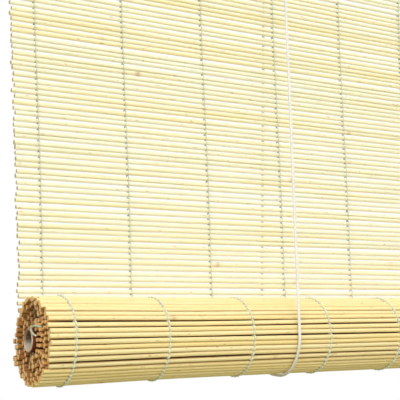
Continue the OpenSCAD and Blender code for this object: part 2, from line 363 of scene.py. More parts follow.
@dataclass(frozen=True)
class CordFinish:
    """Braided cord: the relief of the strands is in the mesh, their threads are here, and the grooves between
    the strands get painted shade.
    """

    name: str
    crown: Colour
    # The valley colour is the painted shade in the grooves, and also the colour of the soil.
    valley: Colour

    def material(self) -> bpy.types.Material:
        """Builds the finish.

        Returns:
            The material.
        """
        g, material = Graph.of_material(self.name)
        grain = g.attribute("grain", vector=True)
        along = g.axis(grain, 0)
        thread = (along * 9.0 + g.attribute("turn") * 14.0).wave()
        soil = g.noise(grain, (0.05, 0.6, 0.6), 3.0).between(0.35, 0.75)
        relief = g.attribute("mark").between(0.0, 0.75)
        # Painted shade: the grooves between the strands take the valley colour.
        colour = g.mix(relief * 0.8 + thread * 0.2, self.valley, self.crown)
        colour = g.mix(soil * 0.25, colour, self.valley)
        g.surface(colour, 0.66 + 0.15 * soil, relief + thread * 0.35, depth=0.09, Sheen_Weight=0.2,
                  Specular_IOR_Level=0.3)
        return material


@dataclass(frozen=True)
class CaneFinish:
    """A bamboo cane: streaked skin, pale cut rims and a papery hollow, with painted shade on the hollow's
    upper back side and on the rims there.
    """

    name: str
    skin: Colour
    streak: Colour
    rim: Colour
    hollow: Colour
    # The colour of the painted shade in the hollow.
    dark_patch: Colour

    def material(self) -> bpy.types.Material:
        """Builds the finish.

        Returns:
            The material.
        """
        g, material = Graph.of_material(self.name)
        grain = g.attribute("grain", vector=True)
        fibre = g.noise(grain, (0.02, 2.2, 2.2), 5.0).between(0.3, 0.7)
        cloud = g.noise(grain, (0.03, 0.2, 0.2), 3.0).between(0.3, 0.7)
        skin = g.mix(fibre * 0.6 + cloud * 0.4, self.streak, self.skin)
        pores = g.noise(grain, (2.5, 2.5, 2.5), 3.0).between(0.35, 0.7)
        # Painted shade: the rims turn towards the skin's colour on the hollow's upper back side.
        rim = g.mix(pores * 0.5 + g.attribute("shade") * 0.5, self.rim, self.skin)
        colour = g.mix(g.attribute("cut"), skin, rim)
        pith = g.mix(cloud * 0.5, self.hollow, self.rim)
        # Painted shade: the hollow's upper back side takes the dark patch colour.
        pith = g.mix(g.attribute("shade") * (0.75 + 0.25 * fibre), pith, self.dark_patch)
        colour = g.mix(g.attribute("mark"), colour, pith)
        g.surface(colour, 0.5 + 0.2 * fibre, fibre + pores * 0.5, depth=0.12, Specular_IOR_Level=0.4)
        return material


@dataclass(frozen=True)
class WoodFinish:
    """Planed wood with its grain along X."""

    name: str
    pale: Colour
    dark: Colour
    gloss: float = 0.0

    def material(self) -> bpy.types.Material:
        """Builds the finish.

        Returns:
            The material.
        """
        g, material = Graph.of_material(self.name)
        place = g.place()
        warp = g.noise(place, (3.0, 40.0, 40.0), 2.0)
        height = g.axis(place, 2)
        depth = g.axis(place, 1)
        rings = ((height * 900.0 + depth * 520.0) + warp * 16.0).wave()
        fibre = g.noise(place, (30.0, 2600.0, 2600.0), 4.0).between(0.3, 0.7)
        pores = g.noise(place, (90.0, 3600.0, 3600.0), 2.0).between(0.62, 0.72)
        wear = g.noise(place, (14.0, 60.0, 60.0), 3.0).between(0.3, 0.7)
        share = rings * 0.4 + fibre * 0.3 + pores * 0.4 + wear * 0.15
        colour = g.mix(share, self.pale, self.dark)
        g.surface(colour, 0.5 + 0.18 * fibre - 0.15 * self.gloss, fibre + rings * 0.4 - pores, depth=0.08,
                  Coat_Weight=0.2 * self.gloss, Specular_IOR_Level=0.4)
        return material


@dataclass(frozen=True)
class SteelFinish:
    """Zinc-plated sheet and wire: spangles, scratches and a little dulling."""

    name: str
    bright: Colour
    dull: Colour

    def material(self) -> bpy.types.Material:
        """Builds the finish.

        Returns:
            The material.
        """
        g, material = Graph.of_material(self.name)
        place = g.place()
        spangle = g.node("ShaderNodeTexVoronoi", {"feature": "F1"},
                         {"Vector": place, "Scale": 420.0}, "Color")
        tone = g.axis(spangle, 0)
        scratch = g.noise(place, (260.0, 4200.0, 900.0), 4.0).between(0.35, 0.65)
        dark_patch = g.noise(place, (110.0, 110.0, 110.0), 4.0).between(0.5, 0.75)
        colour = g.mix(tone * 0.35 + dark_patch * 0.5, self.bright, self.dull)
        g.surface(colour, 0.3 + 0.12 * scratch + 0.2 * dark_patch, scratch + tone * 0.3, depth=0.02, Metallic=0.9)
        return material


@dataclass(frozen=True)
class NylonFinish:
    """Moulded nylon: a fine skin, and cord dust worn into the groove."""

    name: str
    fresh: Colour
    worn: Colour

    def material(self) -> bpy.types.Material:
        """Builds the finish.

        Returns:
            The material.
        """
        g, material = Graph.of_material(self.name)
        place = g.place()
        skin = g.noise(place, (1800.0, 1800.0, 1800.0), 3.0).between(0.3, 0.7)
        dust = g.noise(place, (240.0, 900.0, 240.0), 4.0).between(0.4, 0.7)
        g.surface(g.mix(dust * 0.6 + skin * 0.15, self.fresh, self.worn), 0.4 + 0.2 * dust, skin, depth=0.03,
                  Specular_IOR_Level=0.5)
        return material


@dataclass(frozen=True)
class FloorFinish:
    """A pale floor that the camera sees almost white and that keeps a soft shadow."""

    name: str
    shade: Colour
    bounce: Colour

    def material(self) -> bpy.types.Material:
        """Builds the finish.

        Returns:
            The material.
        """
        g, material = Graph.of_material(self.name)
        speck = g.noise(g.place(), (30.0, 30.0, 30.0), 3.0).between(0.3, 0.7)
        seen = g.node("ShaderNodeLightPath", out="Is Camera Ray")
        tone = g.mix(seen, self.bounce, g.mix(speck * 0.2, self.shade, (0.8, 0.8, 0.8)))
        matt = g.node("ShaderNodeBsdfDiffuse", {}, {"Color": tone})
        glow = g.node("ShaderNodeEmission", {}, {"Color": (1.0, 1.0, 1.0), "Strength": 1.0})
        mixed = g.node("ShaderNodeMixShader", {}, {0: seen * 0.6, 1: matt, 2: glow})
        g.node("ShaderNodeOutputMaterial", {}, {"Surface": mixed})
        return material


WHITE_BRAID = CordFinish("white_braid", crown=tint(246, 246, 243), valley=tint(196, 197, 196))
GREEN_YARN = YarnFinish("grey_green_yarn", crown=tint(243, 248, 228), dip_shade=tint(140, 148, 98))
# The hanging mat's bamboo is a paler copy of the roll's: painted light, for the near-white highlights on the
# hanging sticks.
LIT_MAT_BAMBOO = StickFinish("lit_mat_bamboo", pale=tint(254, 247, 229), warm=tint(250, 234, 192),
                         fleck=tint(164, 120, 70), cut=tint(132, 94, 54), gap=tint(190, 150, 80), glow=1.0)
# The roll's gap colours are painted shade: brown between the sticks of the outer turn, near black for the
# turns under it.
ROLL_BAMBOO = StickFinish("roll_bamboo", pale=tint(251, 238, 189), warm=tint(246, 223, 154),
                          fleck=tint(156, 104, 46), cut=tint(232, 178, 110), gap=tint(168, 104, 28),
                          painted_shade_share=0.9)
# The bamboo of the turns under the outer one is a darker, oranger copy of the roll's: painted shade, with a
# near-black gap colour for the painted shade deeper in.
SHADED_INNER_BAMBOO = StickFinish("shaded_inner_bamboo", pale=tint(246, 194, 120), warm=tint(222, 154, 80),
                           fleck=tint(140, 84, 38), cut=tint(255, 222, 160), gap=tint(52, 18, 0),
                           painted_shade_share=0.98)
# The cane's dark patch colour is painted shade for the hollow's upper back side.
POLE_CANE = CaneFinish("pole_cane", skin=tint(126, 56, 32), streak=tint(88, 36, 18), rim=tint(230, 206, 176),
                       hollow=tint(220, 212, 194), dark_patch=tint(92, 62, 24))
PLANED_LATH = WoodFinish("planed_lath", pale=tint(226, 202, 158), dark=tint(186, 150, 102))
WAXED_CLEAT = WoodFinish("waxed_cleat", pale=tint(196, 152, 102), dark=tint(140, 96, 58), gloss=1.0)
ZINC_STEEL = SteelFinish("zinc_steel", bright=tint(206, 208, 211), dull=tint(150, 153, 158))
PULLEY_NYLON = NylonFinish("pulley_nylon", fresh=tint(238, 232, 216), worn=tint(206, 196, 174))
PALE_FLOOR = FloorFinish("pale_floor", shade=(0.7, 0.69, 0.66), bounce=(0.33, 0.31, 0.15))


class Seed(Enum):
    """Where each run of chance starts, so that every build is the same."""

    MAT_PLACES = 7
    MAT_SHAPES = 11
    MAT_TONES = 13
    INNER_TURNS = 23
    OUTER_TURN = 24
    TURN_GRAIN = 29
    ROLL_YARN = 31
    ROLL_YARN_GRAIN = 37
    CANE = 41
    TAIL_GRAIN = 47
    CORD_GRAIN = 53
    HANK = 61
    HANK_GRAIN = 67
    MAT_YARN = 100
    MAT_YARN_GRAIN = 300
    MAT_GRAIN = 500

    def chance(self, number: int = 0) -> np.random.Generator:
        """A source of chance, another one for each number."""
        return np.random.default_rng(self.value + number)


def unit(vectors: Array) -> Array:
    """Vectors of the same directions and of length 1."""
    return vectors / np.linalg.norm(vectors, axis=-1, keepdims=True)


def ring_angles(count: int) -> Array:
    """Even angles once round a circle."""
    return np.linspace(0, 2 * math.pi, count, endpoint=False)


def smooth(line: Array, times: int) -> Array:
    """Rounds the corners of a line and keeps its ends.

    Args:
        line: The line's points.
        times: How often each point moves towards its neighbours.

    Returns:
        The rounded line.
    """
    line = line.copy()
    for _ in range(times):
        line[1:-1] = 0.25 * line[:-2] + 0.5 * line[1:-1] + 0.25 * line[2:]
    return line


def wander(rng: np.random.Generator, along: Array, size: float, waves: int = 4) -> Array:
    """Smooth random bends, one row per tube.

    Args:
        rng: The source of chance.
        along: Places from -1 to 1, tubes by points.
        size: About how far a bend goes.
        waves: How many waves are summed.

    Returns:
        Offsets of the same shape as along.
    """
    total = np.zeros_like(along)
    for wave in range(1, waves + 1):
        phase = rng.uniform(0, 2 * math.pi, (len(along), 1))
        total += rng.normal(0, size / wave, (len(along), 1)) * np.sin(math.pi * wave * along + phase)
    return total


class TubeBundle:
    """Gathers round tubes into one mesh, with the values that its finish reads at each point."""

    FIELDS = ("tone", "mark", "cut", "shade", "turn")
    GRAIN_SPREAD = 400.0

    def __init__(self, name: str) -> None:
        """Starts an empty bundle.

        Args:
            name: The name of the object that it becomes.
        """
        self.name = name
        self.points: list[Array] = []
        self.quads: list[Array] = []
        self.fans: list[Array] = []
        self.grain: list[Array] = []
        self.values: dict[str, list[Array]] = {key: [] for key in self.FIELDS}
        self.count = 0

    def keep(self, points: Array, grain: Array, **values: Any) -> None:
        """Adds points with their grain and their values, which spread to the points' shape.

        Args:
            points: Places in millimetres.
            grain: Where the finish reads its noise.
            values: One for each field.
        """
        self.points.append(points.reshape(-1, 3))
        self.grain.append(grain.reshape(-1, 3))
        for key in self.FIELDS:
            self.values[key].append(np.broadcast_to(values[key], points.shape[:-1]).reshape(-1))
        self.count += points.size // 3

    def join(self, shape: tuple[int, int, int]) -> None:
        """Lays quads between the rings that are kept next.

        Args:
            shape: How many tubes, rings and sides there are.
        """
        index = np.arange(math.prod(shape)).reshape(shape) + self.count
        after = np.roll(index, -1, axis=2)
        quads = np.stack([index[:, :-1], after[:, :-1], after[:, 1:], index[:, 1:]], axis=-1)
        self.quads.append(quads.reshape(-1, 4))

    def cap(self, middle: Array, rim: Array, grain: Array, last: bool, tone: Array, shade: Array) -> None:
        """Closes one end of some tubes with fans of triangles.

        Args:
            middle: The end faces' middles, tubes by 3.
            rim: Their rims, tubes by sides by 3.
            grain: The grain at the rims.
            last: Whether this is the end that the tubes run to.
            tone, shade: A value per tube.
        """
        tubes, sides, _ = rim.shape
        base = np.arange(tubes)[:, None] * (sides + 1) + self.count
        ring = base + 1 + np.arange(sides)[None]
        turned = np.roll(ring, -1, axis=1)
        pair = (ring, turned) if last else (turned, ring)
        self.fans.append(np.stack([np.broadcast_to(base, ring.shape), *pair], axis=-1).reshape(-1, 3))
        face = np.concatenate([middle[:, None], rim], axis=1)
        inner_grain = np.concatenate([grain.mean(axis=1, keepdims=True), grain], axis=1)
        self.keep(face, inner_grain, tone=tone, mark=0.0, cut=1.0, shade=shade, turn=0.0)

    def add(self, paths: Array, radii: Any, sides: int, toward: Sequence[float], own: np.random.Generator,
            tone: Any = 0.0, mark: Any = 0.0, shade: Any = 0.0, dome: float = 0.15,
            capped: bool = True) -> None:
        """Adds tubes that all have the same number of points.

        Args:
            paths: Middle lines, tubes by points by 3.
            radii: Radius, of a shape that spreads to tubes by points by sides.
            sides: Points round a ring.
            toward: A direction that no path runs along.
            own: The source of the tubes' own grain.
            tone: A value per tube.
            mark: Knuckles, dips or relief, tubes by points by sides.
            shade: How much painted shade a point gets, tubes by points by sides.
            dome: How far an end face bulges.
            capped: Whether the ends are closed.
        """
        tubes, steps, _ = paths.shape
        full = (tubes, steps, sides)
        run = unit(np.gradient(paths, axis=1))
        across = unit(np.cross(run, np.asarray(toward, float)))
        up = np.cross(across, run)
        angle = ring_angles(sides)
        spoke = np.cos(angle)[:, None] * up[:, :, None] + np.sin(angle)[:, None] * across[:, :, None]
        radius = np.broadcast_to(np.asarray(radii, float), full)
        rings = paths[:, :, None] + radius[..., None] * spoke
        hop = np.linalg.norm(np.diff(paths, axis=1), axis=2)
        along = np.concatenate([np.zeros((tubes, 1)), np.cumsum(hop, axis=1)], axis=1)
        start = own.uniform(0, self.GRAIN_SPREAD, (tubes, 3))
        grain = np.stack([np.broadcast_to((along + start[:, :1])[..., None], full),
                          radius * np.cos(angle) + start[:, 1, None, None],
                          radius * np.sin(angle) + start[:, 2, None, None]], axis=-1)
        tones = np.broadcast_to(np.asarray(tone, float), (tubes,))[:, None]
        shades = np.broadcast_to(np.asarray(shade, float), full)
        self.join(full)
        self.keep(rings, grain, tone=tones[..., None], mark=mark, cut=0.0, shade=shades, turn=angle)
        if not capped:
            return
        for end, sign in ((0, -1.0), (steps - 1, 1.0)):
            middle = paths[:, end] + sign * dome * run[:, end]
            # Each end face takes the least painted shade of its rim, so the ends of sticks set deep in the
            # roll get painted shade.
            deep = shades[:, end].min(axis=1, keepdims=True)
            self.cap(middle, rings[:, end], grain[:, end], sign > 0, tones, deep)

    def build(self, material: bpy.types.Material) -> bpy.types.Object:
        """Makes the mesh object.

        Args:
            material: Its finish.

        Returns:
            The new object, in metres.
        """
        mesh = bpy.data.meshes.new(self.name)
        points = np.concatenate(self.points) * MM
        quads = np.concatenate(self.quads)
        fans = np.concatenate(self.fans) if self.fans else np.zeros((0, 3), int)
        mesh.vertices.add(len(points))
        mesh.vertices.foreach_set("co", points.astype(np.float32).ravel())
        corners = np.concatenate([quads.ravel(), fans.ravel()]).astype(np.int32)
        mesh.loops.add(len(corners))
        mesh.loops.foreach_set("vertex_index", corners)
        starts = np.concatenate([np.arange(len(quads)) * 4, 4 * len(quads) + np.arange(len(fans)) * 3])
        mesh.polygons.add(len(starts))
        mesh.polygons.foreach_set("loop_start", starts.astype(np.int32))
        mesh.update(calc_edges=True)
        mesh.polygons.foreach_set("use_smooth", np.ones(len(starts), bool))
        grain = mesh.attributes.new("grain", "FLOAT_VECTOR", "POINT")
        grain.data.foreach_set("vector", np.concatenate(self.grain).astype(np.float32).ravel())
        for key in self.FIELDS:
            values = mesh.attributes.new(key, "FLOAT", "POINT")
            values.data.foreach_set("value", np.concatenate(self.values[key]).astype(np.float32))
        mesh.materials.append(material)
        made = bpy.data.objects.new(self.name, mesh)
        bpy.context.scene.collection.objects.link(made)
        LOG.info("%s: %d triangles", self.name, 2 * len(quads) + len(fans))
        return made


def settle(made: bpy.types.Object, body: Body, slot: Slot, *nodes: str) -> bpy.types.Object:
    """Gives a piece its body, and lets it stand for CAD nodes.

    Args:
        made: The piece.
        body: What it rides on.
        slot: The record's slot of its finish; not used.
        nodes: CAD nodes that it stands for.

    Returns:
        The piece.
    """
    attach(made, body.value)
    if nodes:
        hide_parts(*nodes)
    return made


@dataclass(frozen=True)
class Layout:
    """Places that the sub-assemblies share, repeated from the part's source."""

    half_w: float = 450.0
    mat_y: float = -7.15
    first_stick_z: float = 9.75
    pitch: float = 3.9
    hanging: int = 120
    threads: int = 14
    thread_margin: float = 20.0
    roll_y: float = -38.5
    roll_z: float = -456.3
    outer_turn_r: float = 26.85
    turn_pitch: float = 2.62
    pole_d: float = 15.6
    pole_hollow: float = 90.0
    lath_h: float = 25.0
    cord_d: float = 2.0
    cord_x: float = 249.0
    cord_front_y: float = -67.8
    cord_back_y: float = -3.0
    left_head_y: float = -18.3
    right_head_y: float = -22.7
    sling_r: float = 29.3
    groove_r: float = 8.0
    cleat_x: float = 360.0
    lift: float = 390.0

    def thread_xs(self) -> Array:
        """Where the warp threads cross the sticks."""
        edge = self.half_w - self.thread_margin
        return np.linspace(-edge, edge, self.threads)

    def head_cord_y(self, side: Side) -> float:
        """How far in front of the wall a cord runs along the head."""
        return self.left_head_y if side is Side.LEFT else self.right_head_y

    def raised(self) -> float:
        """How far below the pulleys the roll's middle hangs when it is at its highest."""
        return -self.roll_z - self.lift

    def thread_nodes(self, word: str) -> list[str]:
        """The CAD names of the threads on the mat or the roll."""
        return [f"{word}_thread_{i:02d}" for i in range(1, self.threads + 1)]


@dataclass(frozen=True)
class Knuckles:
    """The joints of the cane, one on each stick, of which only some can be seen.

    Places along a stick are shares of half its length.
    """

    reach: float
    limit: float
    seen: float
    weakest: float
    strongest: float
    width: float = 1.9
    near: tuple[float, ...] = (-4.0, -1.6, 0.0, 1.6, 4.0)

    def places(self, rng: np.random.Generator, count: int) -> Array:
        """A place on each stick."""
        return rng.uniform(-self.reach, self.reach, (count, 1))

    def points(self, even: Array, places: Array, half_l: float) -> Array:
        """Where the sticks have their points: the even ones, and some close to the knuckle.

        Args:
            even: Places that all sticks have.
            places: The knuckles' places.
            half_l: Half a stick's length.

        Returns:
            Places in order, sticks by points.
        """
        close = np.clip(places + np.array(self.near) / half_l, -self.limit, self.limit)
        same = np.broadcast_to(even, (len(places), len(even)))
        return np.sort(np.concatenate([same, close], axis=1), axis=1)

    def marks(self, rng: np.random.Generator, off: Array) -> Array:
        """How strongly the knuckles show.

        Args:
            rng: The source of chance.
            off: Ways from the knuckle in millimetres, sticks by points.

        Returns:
            Marks from 0 to 1, of the shape of off.
        """
        shows = rng.random((len(off), 1)) < self.seen
        strength = shows * rng.uniform(self.weakest, self.strongest, (len(off), 1))
        return strength * np.exp(-(off / self.width) ** 2)


@dataclass(frozen=True)
class YarnPair:
    """The two yarns of a warp thread, which cross between the sticks."""

    diameter: float
    twist: float
    stray: float
    sink: float = 0.1
    steps: int = 6
    sides: int = 5
    steepness: float = 0.6
    faintest_dip: float = 0.25
    dip_power: int = 6

    def places(self, first: int, last: int) -> Array:
        """Places along the pair, whole numbers at the sticks that it ties."""
        return np.linspace(first - 0.5, last + 0.5, self.steps * (last - first + 1) + 1)

    def reach(self, stick_d: float) -> float:
        """How far a yarn's middle lies from the middle of a stick that it crosses."""
        return stick_d / 2 + self.diameter / 2 - self.sink

    def over_under(self, step: Array) -> Array:
        """A yarn's way over one stick and under the next, 1 to -1, steep where it changes sides."""
        swing = np.cos(math.pi * step)
        return np.sign(swing) * np.abs(swing) ** self.steepness

    def sideways(self, face: float, step: Array) -> Array:
        """How far the twist takes a yarn along the sticks, the other way for the other face."""
        return face * np.sin(math.pi * step) * self.twist

    def dips(self, rng: np.random.Generator, threads: int, step: Array) -> Array:
        """How much painted shade a yarn gets where it dips between two sticks, by chance more or less.

        Args:
            rng: The source of chance.
            threads: How many threads there are.
            step: Places along a thread, whole numbers at the sticks.

        Returns:
            Marks from 0 to 1, threads by places by one side.
        """
        gap = np.floor(step).astype(int) - math.floor(step[0])
        strength = rng.uniform(self.faintest_dip, 1.0, (threads, gap.max() + 1))
        return (strength[:, gap] * np.abs(np.sin(math.pi * step))[None] ** self.dip_power)[..., None]


@dataclass(frozen=True)
class Parking:
    """Places behind the raised roll where bands of the mat end up, one after the other."""

    first: float
    step: float
    places: int

    def height(self, number: int) -> float:
        """How far over the roll's middle a band's lowest stick lies."""
        return self.first + self.step * (number % self.places)


@dataclass
class HangingMat:
    """The flat mat: every stick for itself, tied by twisted pairs of yarn.

    The lower sticks are in bands, each a mesh of its own. How far each band would move up as the roll
    rises, to lie behind the roll while the sticks above it stay, is worked out; nothing here moves it.
    """

    layout: Layout
    sticks: bpy.types.Material
    yarn: bpy.types.Material
    band: int = 5
    standing: int = 20
    clamped: int = 6
    sides: int = 8
    points: int = 22
    stick_d: float = 3.25
    thinnest: float = 0.9
    thickest: float = 1.08
    trim: float = 3.3
    uneven: float = 0.6
    most_uneven: float = 1.6
    stray: float = 0.32
    most_stray: float = 0.6
    wave_z: float = 0.2
    wave_y: float = 0.14
    lumps: float = 0.03
    knuckle_swell: float = 0.13
    lean: float = 13.5
    lean_h: float = 456.0
    lean_power: float = 1.6
    spread: float = 3.15
    spread_l: float = 440.0
    bow: float = 2.0
    bow_h: float = 60.0
    dome: float = 0.1
    far: float = 20000.0
    low_h: float = 60.0
    low_parking: Parking = Parking(16.0, 8.0, 2)
    high_parking: Parking = Parking(-5.0, 13.0, 3)
    knuckles: Knuckles = Knuckles(0.97, 0.995, seen=0.4, weakest=0.2, strongest=0.8)
    pair: YarnPair = YarnPair(0.78, twist=0.42, stray=0.12)
    x: Array = field(init=False, repr=False)
    y: Array = field(init=False, repr=False)
    z: Array = field(init=False, repr=False)

    def __post_init__(self) -> None:
        """Works out where every stick lies."""
        lay, rng = self.layout, Seed.MAT_PLACES.chance()
        level = lay.first_stick_z - np.arange(lay.hanging) * lay.pitch
        height = level - lay.roll_z
        stray = rng.normal(0, self.stray, lay.hanging).clip(-self.most_stray, self.most_stray)
        self.z = level + self.spread * np.sin(2 * math.pi * height / self.spread_l) + stray
        self.x = self.drift(height)
        self.y = lay.mat_y - self.bow * (1 - ease(height / self.bow_h))

    def drift(self, height: Array) -> Array:
        """How far the mat leans to the left, by its height above the roll."""
        share = np.clip(height, 0, self.lean_h) / self.lean_h
        return -self.lean * np.sin(math.pi * share ** self.lean_power)

    def stick_paths(self) -> tuple[Array, Array, Array]:
        """The middle lines of all sticks.

        Returns:
            Paths, radii and knuckle marks, sticks by points.
        """
        lay, rng, count = self.layout, Seed.MAT_SHAPES.chance(), self.layout.hanging
        knuckle = self.knuckles.places(rng, count)
        along = self.knuckles.points(np.linspace(-1, 1, self.points), knuckle, lay.half_w)
        left, right = (rng.normal(0, self.uneven, (count, 1)).clip(-self.most_uneven, self.most_uneven)
                       for _ in Side)
        reach = lay.half_w - self.trim + np.where(along < 0, left, right) * np.abs(along)
        x = along * reach + self.x[:, None]
        z = self.z[:, None] + wander(rng, along, self.wave_z)
        y = self.y[:, None] + wander(rng, along, self.wave_y)
        mark = self.knuckles.marks(rng, (along - knuckle) * lay.half_w)
        size = self.stick_d / 2 * rng.uniform(self.thinnest, self.thickest, (count, 1))
        radius = size * (1 + self.lumps * wander(rng, along, 0.8)) * (1 + self.knuckle_swell * mark)
        return np.stack([x, y, z], axis=-1), radius, mark

    def lift_of(self, last: int) -> float:
        """How far a band has moved up when the roll is at its highest.

        Args:
            last: The band's lowest stick.

        Returns:
            The way up, in millimetres.
        """
        lay = self.layout
        low = float(self.z[last]) - lay.roll_z
        parking = self.low_parking if low < self.low_h else self.high_parking
        number = (lay.hanging - 1 - last) // self.band
        return max(0.0, lay.lift - low + parking.height(number))

    def carry(self, made: bpy.types.Object, first: int, last: int) -> None:
        """Works out how far a band would move up as the roll rises, and gives it a mesh of its own.

        Args:
            made: The band's sticks or yarn.
            first, last: The band's sticks.
        """
        up = self.lift_of(last)
        if up > 0:
            middle = float(self.z[first:last + 1].mean())
            keep = 1 - up / (self.far - middle)
            self.far * MM
            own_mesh(made)

    def yarn_band(self, first: int, last: int, number: int) -> bpy.types.Object:
        """The twisted pairs across some sticks.

        Args:
            first, last: The sticks that are tied.
            number: The band's number.

        Returns:
            The yarn's object.
        """
        lay, pair, rng = self.layout, self.pair, Seed.MAT_YARN.chance(number)
        step = pair.places(first, last)
        x, y, z = (np.interp(step, np.arange(lay.hanging), places) for places in (self.x, self.y, self.z))
        z = z - (step - np.clip(step, 0, lay.hanging - 1)) * lay.pitch
        bundle = TubeBundle(f"mat_yarn_{number:02d}")
        for face in (1.0, -1.0):
            swing = face * pair.over_under(step)
            deep = y + pair.reach(self.stick_d) * swing
            middle = np.stack([x + pair.sideways(face, step), deep, z], axis=-1)
            paths = np.repeat(middle[None], lay.threads, axis=0)
            paths[:, :, 0] += lay.thread_xs()[:, None] + rng.normal(0, pair.stray, paths.shape[:2])
            dips = pair.dips(rng, lay.threads, step)
            bundle.add(paths, pair.diameter / 2, pair.sides, ALONG, Seed.MAT_YARN_GRAIN.chance(number),
                       tone=rng.random(lay.threads), mark=dips, capped=False)
        return bundle.build(self.yarn)

    def make(self) -> None:
        """Builds the sticks that stay, which stand for the CAD nodes, and then the bands."""
        lay = self.layout
        paths, radius, mark = self.stick_paths()
        tone = Seed.MAT_TONES.chance().beta(1.6, 2.2, lay.hanging)
        spans = [(0, self.standing - 1)]
        spans += [(k, k + self.band - 1) for k in range(self.standing, lay.hanging, self.band)]
        for number, (first, last) in enumerate(spans):
            stays = number == 0
            part = slice(first, last + 1)
            bundle = TubeBundle(f"mat_sticks_{number:02d}")
            bundle.add(paths[part], radius[part][..., None], self.sides, UPWARD,
                       Seed.MAT_GRAIN.chance(number), tone=tone[part], mark=mark[part][..., None],
                       dome=self.dome)
            made = bundle.build(self.sticks)
            settle(made, Body.HEAD, Slot.MAT, *(["stick_mat"] if stays else []))
            tied = self.yarn_band(max(first, self.clamped), last, number)
            settle(tied, Body.HEAD, Slot.YARN, *(lay.thread_nodes("warp") if stays else []))
            if not stays:
                self.carry(made, first, last)
                self.carry(tied, first, last)


@dataclass(frozen=True)
class Opening:
    """A place on the roll where two sticks of its outer turn stand apart."""

    angle: float
    middle: float
    half_l: float
    width: float


@dataclass(frozen=True)
class Turns:
    """How the sticks of the outer turn, or of the turns under it, are drawn."""

    name: str
    seed: Seed
    outside: bool
    stick_d: float
    sides: int
    points: int
    back_fill: float


